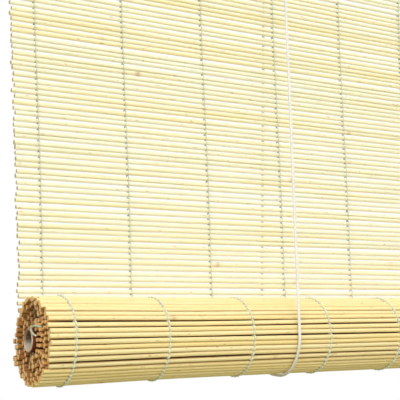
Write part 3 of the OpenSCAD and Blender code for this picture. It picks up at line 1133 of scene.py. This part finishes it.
@dataclass
class WoundRoll:
    """The wound part of the mat, with its pole and the yarn on its outer turn."""

    layout: Layout
    outer: bpy.types.Material
    inner: bpy.types.Material
    yarn: bpy.types.Material
    cane: bpy.types.Material
    pitch: float = 3.5
    wound: int = 218
    outer_turn: Turns = Turns("roll_outer_turn", Seed.OUTER_TURN, True, 3.2,
                              sides=12, points=26, back_fill=0.05)
    inner_turns: Turns = Turns("roll_inner_turns", Seed.INNER_TURNS, False, 2.42,
                              sides=8, points=8, back_fill=0.28)
    end_points: tuple[float, ...] = (-0.97, -0.992, 0.97, 0.992)
    overlap: float = 0.05
    thinnest: float = 0.92
    thickest: float = 1.05
    knuckle_swell: float = 0.08
    split: float = 0.05
    uneven: float = 1.05
    most_out: float = -1.5
    most_in: float = 2.4
    bulge: float = 0.13
    sway: float = 0.15
    sway_waves: int = 9
    slip: float = 0.1
    rim_depth: float = 0.4
    front_depth: float = 1.2
    back_depth: float = 0.6
    pole_depth: float = 4.6
    pole_turn: float = 2.2
    pole_fade: float = 1.2
    front_rise: float = 1.9
    rise_r: float = 18.0
    rise_fade: float = 6.0
    dent_depth: float = 6.5
    dent_at: tuple[float, float] = (3.0, 15.5)
    dent_size: tuple[float, float] = (6.0, 4.0)
    # Painted shade: the next two values set it on the sides of the sticks that face into the gaps, and the
    # two after them where it starts on the turns under the outer one and how far in from the roll's ends it
    # deepens.
    gap_shade_from: float = 0.62
    gap_shade_fade: float = 0.7
    lit_depth: float = 2.8
    fade_depth: float = 6.0
    loose: float = 2.5
    loose_sticks: float = 8.0
    flare: float = 0.05
    flare_l: float = 120.0
    bore_wall: float = 1.7
    pole_out: float = 1.3
    pole_sides: int = 40
    pole_rings: int = 60
    # The angle round the pole where the painted shade in the hollow and on the rims is strongest.
    painted_shade_at: float = 1.1
    tail_d: float = 1.44
    push_reach: float = 14.0
    push_flat: float = 1.6
    knuckles: Knuckles = Knuckles(0.96, 0.985, seen=0.5, weakest=0.3, strongest=1.0)
    pair: YarnPair = YarnPair(1.4, twist=0.25, stray=0.1)
    openings: tuple[Opening, ...] = (
        Opening(205.0, -430.0, 190.0, 0.95), Opening(197.0, -180.0, 330.0, 0.85),
        Opening(189.5, 20.0, 290.0, 0.7), Opening(161.0, -420.0, 110.0, 0.8),
        Opening(154.0, -390.0, 170.0, 0.9), Opening(147.0, -260.0, 260.0, 0.85),
        Opening(160.0, -20.0, 210.0, 0.7), Opening(212.0, 60.0, 150.0, 0.6),
        Opening(203.0, 300.0, 170.0, 0.9), Opening(152.0, 330.0, 200.0, 0.9),
        Opening(181.0, 390.0, 110.0, 0.7), Opening(60.0, -200.0, 240.0, 0.8),
        Opening(96.0, 150.0, 260.0, 0.7), Opening(120.0, 330.0, 150.0, 0.6),
        Opening(262.0, 200.0, 200.0, 0.6), Opening(318.0, -80.0, 260.0, 0.8),
        Opening(212.5, -330.0, 140.0, 0.45), Opening(220.0, -380.0, 200.0, 0.3),
    )

    def spiral(self, number: Array) -> tuple[Array, Array]:
        """Where a stick of the roll lies.

        Args:
            number: Sticks counted inward from the mat, whole or broken.

        Returns:
            Distance from the axis, and angle from the back towards the top.
        """
        lay = self.layout
        inward = np.clip(number, 0, None)
        radius = np.sqrt(lay.outer_turn_r ** 2 - lay.turn_pitch * inward * self.pitch / math.pi)
        lead = lay.pitch / (2 * lay.outer_turn_r)
        angle = -lead - 2 * math.pi * (lay.outer_turn_r - radius) / lay.turn_pitch
        angle = angle - np.minimum(number, 0) * self.pitch / lay.outer_turn_r
        return radius + self.loose * (1 - ease(number / self.loose_sticks)), angle

    def widen(self, x: Array) -> Array:
        """How much wider the roll is at a place along it, because its ends are looser."""
        return 1 + self.flare * ease((np.abs(x) - self.layout.half_w + self.flare_l) / self.flare_l)

    def across(self, radius: Array, angle: Array) -> tuple[Array, Array]:
        """The Y and Z of a point that is given round the axis."""
        lay = self.layout
        return lay.roll_y + radius * np.cos(angle), lay.roll_z + radius * np.sin(angle)

    def behind(self, angle: Array) -> Array:
        """How far round to the back a stick lies, 0 to 1."""
        return ease(0.5 + 0.5 * np.cos(angle))

    def sunk(self, radius: Array, angle: Array) -> Array:
        """How far a stick's end lies inside the roll's end.

        Args:
            radius, angle: Where the stick lies.

        Returns:
            Depths: more in front than behind, most behind the pole and in a hollow above it.
        """
        turn = (self.layout.outer_turn_r - radius) / self.layout.turn_pitch
        behind = self.behind(angle)
        depth = self.rim_depth + self.front_depth * (1 - np.cos(angle))
        depth = depth + self.pole_depth * ease((turn - self.pole_turn) / self.pole_fade) * behind
        depth = depth - self.front_rise * ease((self.rise_r - radius) / self.rise_fade) * (1 - behind)
        y = (radius * np.cos(angle) - self.dent_at[0]) / self.dent_size[0]
        z = (radius * np.sin(angle) - self.dent_at[1]) / self.dent_size[1]
        return depth + self.dent_depth * np.exp(-(y ** 2 + z ** 2))

    def pushed(self, angle: Array, x: Array) -> Array:
        """How far sticks are pushed along their turn by the places where it stands open.

        Args:
            angle: Where the sticks lie.
            x: Places along them, sticks by points.

        Returns:
            Ways along the turn, of the shape of x.
        """
        total = np.zeros_like(x)
        for opening in self.openings:
            off = np.degrees(-angle) - opening.angle
            push = 0.5 * opening.width * np.sign(off) * np.exp(-np.abs(off) / self.push_reach)
            total += push[:, None] * ease(self.push_flat * (1 - np.abs(x - opening.middle) / opening.half_l))
        return total

    def make_sticks(self) -> None:
        """Builds the outer turn, which stands for the CAD node, and the turns under it."""
        radius, angle = self.spiral(np.arange(self.wound))
        under = int(np.searchsorted(-angle, 2 * math.pi + self.overlap))
        bundle = self.wind(self.outer_turn, radius[:under], angle[:under])
        settle(bundle.build(self.outer), Body.ROLL, Slot.WOUND, "rolled_mat")
        bundle = self.wind(self.inner_turns, radius[under:], angle[under:])
        settle(bundle.build(self.inner), Body.ROLL, Slot.WOUND)

    def stick_xs(self, rng: np.random.Generator, turns: Turns, radius: Array, angle: Array,
                 along: Array) -> Array:
        """Where the points of wound sticks lie along the roll, with their ends in or out.

        Args:
            rng: The source of chance.
            turns: The turns that the sticks are in.
            radius, angle: Where the sticks lie.
            along: Their points' places from -1 to 1, sticks by points.

        Returns:
            X of the points.
        """
        sunk = self.sunk(radius, angle)
        if turns.outside:
            sunk = sunk + self.back_depth * ease(np.cos(angle))
        count = (len(sunk), 1)
        left, right = (sunk[:, None] + rng.normal(0, self.uneven, count).clip(self.most_out, self.most_in)
                       for _ in Side)
        return along * (self.layout.half_w - np.where(along < 0, left, right) * np.abs(along))

    def wind(self, turns: Turns, radius: Array, angle: Array) -> TubeBundle:
        """Gathers some of the wound sticks.

        Args:
            turns: The turns that they are in.
            radius, angle: Where they lie.

        Returns:
            Their tubes.
        """
        lay, rng, rows = self.layout, turns.seed.chance(), len(radius)
        knuckle = self.knuckles.places(rng, rows)
        even = np.concatenate([np.linspace(-1, 1, turns.points), self.end_points])
        along = self.knuckles.points(even, knuckle, lay.half_w)
        x = self.stick_xs(rng, turns, radius, angle, along)
        ring = (radius[:, None] + wander(rng, along, self.bulge)) * self.widen(x)
        sway = wander(rng, along, self.sway, self.sway_waves) + rng.normal(0, self.slip, (rows, 1))
        spin = angle[:, None] + (sway - self.pushed(angle, x)) / ring
        y, z = self.across(ring, spin)
        mark = self.knuckles.marks(rng, (along - knuckle) * lay.half_w)
        thick = turns.stick_d / 2 * rng.uniform(self.thinnest, self.thickest, (rows, 1))
        thick = thick * (1 + self.knuckle_swell * mark) * (1 + turns.back_fill * self.behind(angle)[:, None])
        facing = ring_angles(turns.sides) + math.pi / 2 - spin[..., None]
        own_turn = rng.uniform(0, 6, (rows, 1, 1)) * (not turns.outside)
        split = 1 + self.split * (1 - np.cos(4 * facing + own_turn))
        # Painted shade: on the sides of the sticks that face into the gaps between them, and on the turns
        # under the outer one also deeper in from the roll's ends.
        shade = ease((self.gap_shade_from - np.cos(facing)) / self.gap_shade_fade)
        if not turns.outside:
            inside = ease((lay.half_w - np.abs(x) - self.lit_depth) / self.fade_depth)
            shade = np.maximum(0.5 * shade, inside[..., None])
        bundle = TubeBundle(turns.name)
        bundle.add(np.stack([x, y, z], axis=-1), thick[..., None] * split, turns.sides, UPWARD,
                   Seed.TURN_GRAIN.chance(), tone=rng.beta(1.5, 1.8, rows), mark=mark[..., None], shade=shade,
                   dome=0.2)
        return bundle

    def make_yarn(self) -> None:
        """Builds the twisted pairs on the outer turn."""
        lay, pair, rng = self.layout, self.pair, Seed.ROLL_YARN.chance()
        step = pair.places(0, int(2 * math.pi * lay.outer_turn_r / self.pitch))
        radius, angle = self.spiral(step)
        reach = pair.reach(self.outer_turn.stick_d)
        wide = self.widen(lay.thread_xs())[:, None]
        bundle = TubeBundle("roll_yarn")
        for face in (1.0, -1.0):
            swing = face * pair.over_under(step)
            y, z = self.across(radius * wide + reach * swing, angle[None])
            x = lay.thread_xs()[:, None] + rng.normal(0, pair.stray, y.shape) + pair.sideways(face, step)
            tone = rng.random(lay.threads)
            dips = pair.dips(rng, lay.threads, step)
            bundle.add(np.stack([x, y, z], axis=-1), pair.diameter / 2, pair.sides, ALONG,
                       Seed.ROLL_YARN_GRAIN.chance(), tone=tone, mark=dips, dome=0.2)
        settle(bundle.build(self.yarn), Body.ROLL, Slot.YARN, *lay.thread_nodes("roll"))

    def make_pole(self) -> None:
        """Builds the cane: skin, cut rims and the hollow up to its first joint.

        An outline's rows are place, radius, cut share and hollow share.
        """
        lay, end = self.layout, self.layout.half_w + self.pole_out
        outer, bore, joint = lay.pole_d / 2, lay.pole_d / 2 - self.bore_wall, end - lay.pole_hollow
        edge = (end - 0.5, outer - 0.1)
        skin = [(x, outer, 0, 0) for x in np.linspace(-end + 1.2, end - 1.2, self.pole_rings)]
        skin = [(-edge[0], edge[1], 0, 0), *skin, (*edge, 0, 0)]
        rim = [(*edge, 1, 0), (end, outer - 0.6, 1, 0), (end + 0.1, (outer + bore) / 2, 1, 0),
               (end - 0.2, bore + 0.3, 1, 0), (end - 0.9, bore, 1, 0)]
        hollow = [(end - 0.9, bore, 0, 1), (end - 12, bore - 0.2, 0, 1), (end - 45, bore - 0.5, 0, 1),
                  (joint, bore - 0.9, 0, 1), (joint - 1.5, bore * 0.5, 0, 1), (joint - 1.8, 0.05, 0, 1)]
        far_rim, far_hollow = ([(-x, *rest) for x, *rest in rows[::-1]] for rows in (rim, hollow))
        round_ = ring_angles(self.pole_sides)
        oval = 1 + 0.012 * np.cos(2 * round_ + 0.6) + 0.006 * np.cos(3 * round_ + 1.9)
        waves = wander(Seed.CANE.chance(), np.linspace(-1, 1, len(skin))[None], 1.0, 7)[0]
        bundle = TubeBundle("bamboo_cane")
        for rows in (far_hollow, far_rim, skin, rim, hollow):
            table = np.array(rows, float)
            radius = table[:, 1][:, None] * oval[None]
            if rows is skin:
                radius = radius * (1 + 0.006 * waves)[:, None]
            self.lathe(bundle, table, radius, round_)
        settle(bundle.build(self.cane), Body.ROLL, Slot.POLE, "bamboo_pole")

    def lathe(self, bundle: TubeBundle, table: Array, radius: Array, round_: Array) -> None:
        """Adds rings round the roll's axis.

        Args:
            bundle: Where they go.
            table: Rows of place, radius, cut share and hollow share.
            radius: The rings' radii, rows by sides.
            round_: The sides' angles.
        """
        lay = self.layout
        y, z = self.across(radius, round_[None])
        x = np.broadcast_to(table[:, :1], radius.shape)
        cut, hollow = table[:, 2:3], table[:, 3:4]
        # Painted shade on the rims and in the hollow, strongest towards the hollow's upper back side; it
        # turns with the roll.
        dark_patch = (cut + hollow) * ease(0.2 + 1.4 * np.cos(round_[None] - self.painted_shade_at))
        grain = np.stack([x, y - lay.roll_y, z - lay.roll_z], axis=-1)
        bundle.join((1, *radius.shape))
        bundle.keep(np.stack([x, y, z], axis=-1), grain, tone=0.0, mark=hollow, cut=cut, shade=dark_patch,
                    turn=round_)

    def make_tail(self) -> None:
        """Builds the loose end of thread that hangs from the pole's rim."""
        lay = self.layout
        marks = np.array([(2.0, -14.6, 8.8), (-0.4, -12.8, 9.6), (-1.3, -10.0, 9.5), (-1.9, -6.6, 8.2),
                          (-2.1, -7.8, 6.5), (-2.1, -10.4, 4.8), (-1.9, -12.6, 4.0), (-1.6, -14.4, 3.7)])
        t = np.linspace(0, 1, 40)
        line = np.stack([np.interp(t, np.linspace(0, 1, len(marks)), axis) for axis in marks.T], axis=-1)
        line = smooth(line, 6) + (-lay.half_w, lay.roll_y, lay.roll_z)
        radius = self.tail_d / 2 * (1 - 0.2 * t)
        bundle = TubeBundle("thread_tail")
        bundle.add(line[None], radius[None, :, None], 8, ALONG, Seed.TAIL_GRAIN.chance(), mark=0.5)
        settle(bundle.build(self.yarn), Body.ROLL, Slot.YARN)

    def make(self) -> None:
        """Builds the whole roll."""
        self.make_sticks()
        self.make_yarn()
        self.make_pole()
        self.make_tail()


@dataclass
class LiftCords:
    """The two lift cords, braided: their runs in front and behind, their slings and their head runs."""

    layout: Layout
    braid: bpy.types.Material
    sides: int = 12
    step: float = 0.7
    fewest_points: int = 8
    lay_length: float = 7.5
    strands: int = 4
    valley: float = 0.93
    crown: float = 0.1
    lean: float = 12.2
    slant: float = 2.2
    hug: float = 0.98
    lead: float = 9.0
    stub: float = 16.0
    quarter_points: int = 24
    pulley_points: int = 18
    knot_size: float = 0.62
    knot_h: float = 1.1
    knot_open: float = 0.15
    knot_points: int = 120
    knot_seat: float = 1.6
    knot_rise: float = 2.7
    hank_reach: float = 28.0

    def resample(self, points: Array) -> Array:
        """Even steps along a line of points.

        Args:
            points: The line.

        Returns:
            Points about one step apart.
        """
        hop = np.concatenate([[0.0], np.cumsum(np.linalg.norm(np.diff(points, axis=0), axis=1))])
        place = np.linspace(0, hop[-1], max(self.fewest_points, int(hop[-1] / self.step)))
        return np.stack([np.interp(place, hop, points[:, axis]) for axis in range(3)], axis=-1)

    def weave(self, bundle: TubeBundle, points: Array, toward: Sequence[float],
              grain: Seed = Seed.CORD_GRAIN) -> None:
        """Adds a braided tube to a bundle.

        Args:
            bundle: Where it goes.
            points: Its middle line.
            toward: A direction that it never runs along.
            grain: Sets its own grain.
        """
        path = self.resample(np.asarray(points, float))
        along = np.arange(len(path)) * self.step * 2 * math.pi / self.lay_length
        angle = ring_angles(self.sides)
        one = np.cos(self.strands * angle[None] + self.strands * along[:, None])
        other = np.cos(self.strands * angle[None] - self.strands * along[:, None])
        relief = 0.5 + 0.5 * np.maximum(one, other)
        radius = self.layout.cord_d / 2 * (self.valley + self.crown * relief)
        bundle.add(path[None], radius[None], self.sides, toward, grain.chance(), mark=relief[None], dome=0.25)

    def run(self, name: str, points: Array, toward: Sequence[float]) -> bpy.types.Object:
        """One braided piece of cord.

        Args:
            name: The piece's name.
            points: Its middle line.
            toward: A direction that it never runs along.

        Returns:
            The new object.
        """
        bundle = TubeBundle(name)
        self.weave(bundle, points, toward)
        return bundle.build(self.braid)

    def knot_line(self, x: float, z: float) -> Array:
        """The middle line of a cord's end knot.

        Args:
            x, z: Where its middle lies.

        Returns:
            Points along the knot.
        """
        t = np.linspace(self.knot_open, 2 * math.pi - self.knot_open, self.knot_points)
        return np.stack([x + self.knot_size * (np.sin(t) + 2 * np.sin(2 * t)),
                         self.layout.cord_back_y + self.knot_size * (np.cos(t) - 2 * np.cos(2 * t)),
                         z - self.knot_h * np.sin(3 * t)], axis=-1)

    def front_line(self, side: Side) -> Array:
        """Both ends of a front run: just below its pulley, and just above the roll's middle.

        Args:
            side: Which cord it belongs to.

        Returns:
            Points along it.
        """
        lay = self.layout
        top = np.array([side.value * lay.cord_x, lay.head_cord_y(side), -self.lead])
        low = np.array([side.value * (lay.cord_x + self.lean), lay.cord_front_y, lay.roll_z])
        return np.stack([top, low + (top - low) * self.stub / (top - low)[2]])

    def sling_line(self, side: Side) -> Array:
        """The middle line of a sling: down in front, slanting under the roll and up behind the mat.

        Args:
            side: Which cord it belongs to.

        Returns:
            Points along it.
        """
        lay = self.layout
        front = np.array([side.value * (lay.cord_x + self.lean), lay.cord_front_y])
        behind = np.array([side.value * lay.cord_x, lay.cord_back_y])
        span = np.linalg.norm(behind - front)
        bend = lay.sling_r * span / (behind - front)[1]
        down = np.linspace(math.pi, 1.5 * math.pi, self.quarter_points)
        rise = np.linspace(1.5 * math.pi, 2 * math.pi, self.quarter_points)
        turn = np.concatenate([down, rise])
        way = np.concatenate([bend + bend * np.cos(down), span - bend + bend * np.cos(rise)])
        sideways = (turn / math.pi - 1) ** self.slant
        x = front[0] + sideways * (behind - front)[0]
        y = front[1] + way / span * (behind - front)[1]
        under = np.column_stack([x, y, lay.roll_z + self.hug * bend * np.sin(turn)])
        return np.concatenate([self.front_line(side)[-1:], under])

    def make_front(self, side: Side) -> None:
        """Builds the run in front, and gives it a mesh of its own.

        Args:
            side: Which cord it belongs to.
        """
        lay, taken = self.layout, self.lead + self.stub
        made = self.run(f"{side.word}_front_run", self.front_line(side), ALONG)
        settle(made, Body.HEAD, Slot.CORD, f"{side.word}_cord_front")
        -self.lead * MM
        (lay.raised() - taken) / (-lay.roll_z - taken)
        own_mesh(made)

    def make_back(self, side: Side) -> None:
        """Builds the run behind, and gives it a mesh of its own.

        Args:
            side: Which cord it belongs to.
        """
        lay, foot = self.layout, -self.layout.lath_h / 2
        x, y = side.value * lay.cord_x, lay.cord_back_y
        made = self.run(f"{side.word}_back_run", [(x, y, foot), (x, y, lay.roll_z)], ALONG)
        settle(made, Body.HEAD, Slot.CORD, f"{side.word}_cord_back")
        foot * MM
        (lay.raised() + foot) / (foot - lay.roll_z)
        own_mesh(made)

    def make_knot(self, side: Side) -> None:
        """Builds the cord's end: up through the lath, and the knot on it.

        Args:
            side: Which cord it belongs to.
        """
        lay, top = self.layout, self.layout.lath_h / 2
        x, y = side.value * lay.cord_x, lay.cord_back_y
        bundle = TubeBundle(f"{side.word}_back_knot")
        self.weave(bundle, [(x, y, -top), (x, y, top + self.knot_seat)], ALONG)
        self.weave(bundle, self.knot_line(x, top + self.knot_rise), (0.2, 0.1, 1.0))
        settle(bundle.build(self.braid), Body.HEAD, Slot.CORD)

    def make_sling(self, side: Side) -> None:
        """Builds the sling under the roll.

        Args:
            side: Which cord it belongs to.
        """
        made = self.run(f"{side.word}_sling", self.sling_line(side), ALONG)
        settle(made, Body.SLINGS, Slot.CORD, f"{side.word}_cord_sling")

    def make_head(self, side: Side) -> None:
        """Builds the run over the pulley and along the head to the cleat.

        Args:
            side: Which cord it belongs to.
        """
        lay, radius = self.layout, self.layout.groove_r
        x, y = side.value * lay.cord_x, lay.head_cord_y(side)
        over = np.linspace(math.pi, 0.5 * math.pi, self.pulley_points)
        bend = np.stack([x + radius + radius * np.cos(over), np.full_like(over, y), radius * np.sin(over)],
                        axis=-1)
        line = np.concatenate([[(x, y, -self.lead)], bend, [(lay.cleat_x - self.hank_reach, y, radius)]])
        made = self.run(f"{side.word}_head_run", line, INTO_WALL)
        settle(made, Body.HEAD, Slot.CORD, f"{side.word}_cord_head")

    def make(self) -> None:
        """Builds both cords."""
        for side in Side:
            self.make_front(side)
            self.make_back(side)
            self.make_knot(side)
            self.make_sling(side)
            self.make_head(side)


@dataclass
class CordHank:
    """The spare cord, wound round the cleat in even layers."""

    layout: Layout
    cords: LiftCords
    layers: int = 5
    rows: int = 5
    turn_points: int = 60
    half_straight: float = 12.0
    straightness: float = 1.6
    first_r: float = 8.4
    layer_step: float = 2.15
    front_y: float = -28.2
    back_y: float = -18.5
    uneven: float = 0.25
    ripple: float = 0.2
    sag: float = 0.25
    stray: float = 0.12
    smoothing: int = 3

    def turn(self, rng: np.random.Generator, layer: int, y: float) -> Array:
        """One turn of the cord round the cleat.

        Args:
            rng: The source of chance.
            layer: Which layer it is in, from the inside.
            y: How far in front of the wall it lies.

        Returns:
            Its points.
        """
        t = ring_angles(self.turn_points)
        radius = self.first_r + layer * self.layer_step + self.uneven * rng.normal(0, 1)
        radius = radius + self.ripple * np.sin(t * 2 + layer)
        straight = np.clip(self.straightness * np.cos(t), -1, 1) * self.half_straight
        depth = y + self.sag * np.sin(t + rng.uniform(0, 6)) + self.stray * rng.normal(0, 1)
        x = self.layout.cleat_x + straight + radius * np.cos(t)
        return np.stack([x, depth, radius * np.sin(t)], axis=-1)

    def make(self) -> None:
        """Builds the winding as one long cord, with a coarser braid."""
        rng = Seed.HANK.chance()
        levels = np.linspace(self.back_y, self.front_y, self.rows)
        turns = [self.turn(rng, layer, y) for layer in range(self.layers)
                 for y in (levels if layer % 2 == 0 else levels[::-1])]
        bundle = TubeBundle("cord_winding")
        coarse = replace(self.cords, sides=8, step=1.3, lay_length=10.0)
        coarse.weave(bundle, smooth(np.concatenate(turns), self.smoothing), INTO_WALL, Seed.HANK_GRAIN)
        settle(bundle.build(self.cords.braid), Body.HEAD, Slot.CORD, "cord_hank")


@dataclass
class Hardware:
    """The head's CAD pieces, each with its own finish."""

    lath: bpy.types.Material
    cleat: bpy.types.Material
    steel: bpy.types.Material
    nylon: bpy.types.Material
    names: dict[str, list[str]] = field(default_factory=lambda: {
        "lath": ["head_lath_front", "head_lath_back"],
        "cleat": ["tie_cleat"],
        "steel": ["lath_nails", "fixing_screws", "left_pulley_bracket", "right_pulley_bracket",
                  "left_pulley_axle", "right_pulley_axle"],
        "nylon": ["left_pulley_wheel", "right_pulley_wheel"],
    })

    def make(self) -> None:
        """Dresses the nodes."""
        for finish, nodes in self.names.items():
            for node in nodes:
                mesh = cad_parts[node].data
                mesh.materials.clear()
                mesh.materials.append(getattr(self, finish))
                LOG.info("%s: CAD node, %s", node, finish)


@dataclass(frozen=True)
class Lamp:
    """A soft square lamp: where it hangs, where it points and its side in metres, and its power in watts."""

    name: str
    place: tuple[float, float, float]
    aim: tuple[float, float, float]
    size: float
    power: float

    def make(self) -> None:
        """Hangs the lamp."""
        lamp = bpy.data.lights.new(self.name, "AREA")
        lamp.size, lamp.energy = self.size, self.power
        made = bpy.data.objects.new(self.name, lamp)
        made.location = self.place
        made.rotation_euler = (Vector(self.aim) - Vector(self.place)).to_track_quat("-Z", "Y").to_euler()
        bpy.context.scene.collection.objects.link(made)


@dataclass
class Studio:
    """Camera, soft light, white surroundings and a pale floor."""

    eye: tuple[float, float, float] = (-670.1, -617.2, -420.4)
    yaw: float = 30.70
    pitch: float = 5.03
    roll: float = 0.59
    focal_px: float = 962.0
    frame_px: float = 400.0
    sensor_w: float = 36.0
    floor_z: float = -900.0
    floor_edge: float = 2200.0
    floor_cells: int = 12
    above: float = 0.75
    below: float = 0.36
    sky: Colour = (1.0, 0.99, 0.97)
    ground: Colour = (1.0, 0.93, 0.7)
    lamps: tuple[Lamp, ...] = (
        Lamp("key_lamp", (-1.9, -1.4, 0.9), (-0.3, 0.0, -0.4), size=1.3, power=17.0),
        Lamp("top_lamp", (0.3, -0.7, 1.7), (0.0, 0.0, -0.3), size=1.4, power=7.0),
        Lamp("front_lamp", (-0.5, -2.5, 0.2), (0.0, 0.0, -0.3), size=1.8, power=26.0),
        Lamp("back_lamp", (0.5, 2.2, 0.1), (0.0, 0.0, -0.3), size=1.8, power=20.0),
    )

    def make_camera(self) -> None:
        """Sets the camera at the photograph's viewing angle."""
        yaw, pitch, roll = (math.radians(a) for a in (self.yaw, self.pitch, self.roll))
        ahead = Vector((math.sin(yaw) * math.cos(pitch), math.cos(yaw) * math.cos(pitch), math.sin(pitch)))
        level = ahead.cross(Vector((0, 0, 1))).normalized()
        upright = level.cross(ahead)
        right = math.cos(roll) * level + math.sin(roll) * upright
        up = math.cos(roll) * upright - math.sin(roll) * level
        lens = bpy.data.cameras.new("photo_view")
        lens.sensor_fit = "HORIZONTAL"
        lens.sensor_width = self.sensor_w
        lens.lens = self.sensor_w * self.focal_px / self.frame_px
        lens.clip_start, lens.clip_end = 0.01, 50.0
        camera = bpy.data.objects.new("photo_view", lens)
        place = Matrix((right, up, -ahead)).transposed().to_4x4()
        place.translation = Vector(self.eye) * MM
        camera.matrix_world = place
        bpy.context.scene.collection.objects.link(camera)
        bpy.context.scene.camera = camera

    def make_world(self) -> None:
        """Sets soft light from all round, and white for what the camera sees."""
        world = bpy.data.worlds.new("white_room")
        world.use_nodes = True
        g = Graph(world.node_tree)
        camera, glossy, through = (g.node("ShaderNodeLightPath", out=f"Is {ray} Ray")
                                   for ray in ("Camera", "Glossy", "Transmission"))
        seen = (camera + glossy + through).between(0.0, 1.0)
        sky = g.node("ShaderNodeBackground", {}, {"Color": self.sky, "Strength": self.above})
        ground = g.node("ShaderNodeBackground", {}, {"Color": self.ground, "Strength": self.below})
        height = g.axis(g.node("ShaderNodeTexCoord", out="Generated"), 2)
        soft = g.node("ShaderNodeMixShader", {}, {0: height.between(-0.3, 0.35), 1: ground, 2: sky})
        white = g.node("ShaderNodeBackground", {}, {"Color": (1.0, 1.0, 1.0), "Strength": 1.0})
        mixed = g.node("ShaderNodeMixShader", {}, {0: seen, 1: soft, 2: white})
        g.node("ShaderNodeOutputWorld", {}, {"Surface": mixed})
        bpy.context.scene.world = world

    def make_floor(self, material: bpy.types.Material) -> None:
        """Lays a flat pale floor well below the blind.

        Args:
            material: Its finish.
        """
        mesh = bpy.data.meshes.new("studio_floor")
        lines = np.linspace(-self.floor_edge, self.floor_edge, self.floor_cells + 1) * MM
        points = [(x, y, self.floor_z * MM) for y in lines for x in lines]
        row = self.floor_cells + 1
        corners = [r * row + c for r in range(self.floor_cells) for c in range(self.floor_cells)]
        mesh.from_pydata(points, [], [(k, k + 1, k + row + 1, k + row) for k in corners])
        mesh.materials.append(material)
        floor = bpy.data.objects.new("studio_floor", mesh)
        bpy.context.scene.collection.objects.link(floor)

    def make(self) -> None:
        """Sets up the light and the floor."""
        bpy.context.scene.view_settings.view_transform = "Standard"
        self.make_world()
        for lamp in self.lamps:
            lamp.make()
        self.make_floor(PALE_FLOOR.material())


def main() -> None:
    """Builds the camera, the cords, the mat, the roll, the hardware and the studio."""
    logging.basicConfig(level=logging.INFO, format="%(name)s %(message)s")
    layout, studio = Layout(), Studio()
    studio.make_camera()
    cords = LiftCords(layout, WHITE_BRAID.material())
    cords.make()
    CordHank(layout, cords).make()
    yarn = GREEN_YARN.material()
    HangingMat(layout, LIT_MAT_BAMBOO.material(), yarn).make()
    WoundRoll(layout, ROLL_BAMBOO.material(), SHADED_INNER_BAMBOO.material(), yarn, POLE_CANE.material()).make()
    Hardware(PLANED_LATH.material(), WAXED_CLEAT.material(), ZINC_STEEL.material(),
             PULLEY_NYLON.material()).make()
    studio.make()


if __name__ == "__main__":
    main()
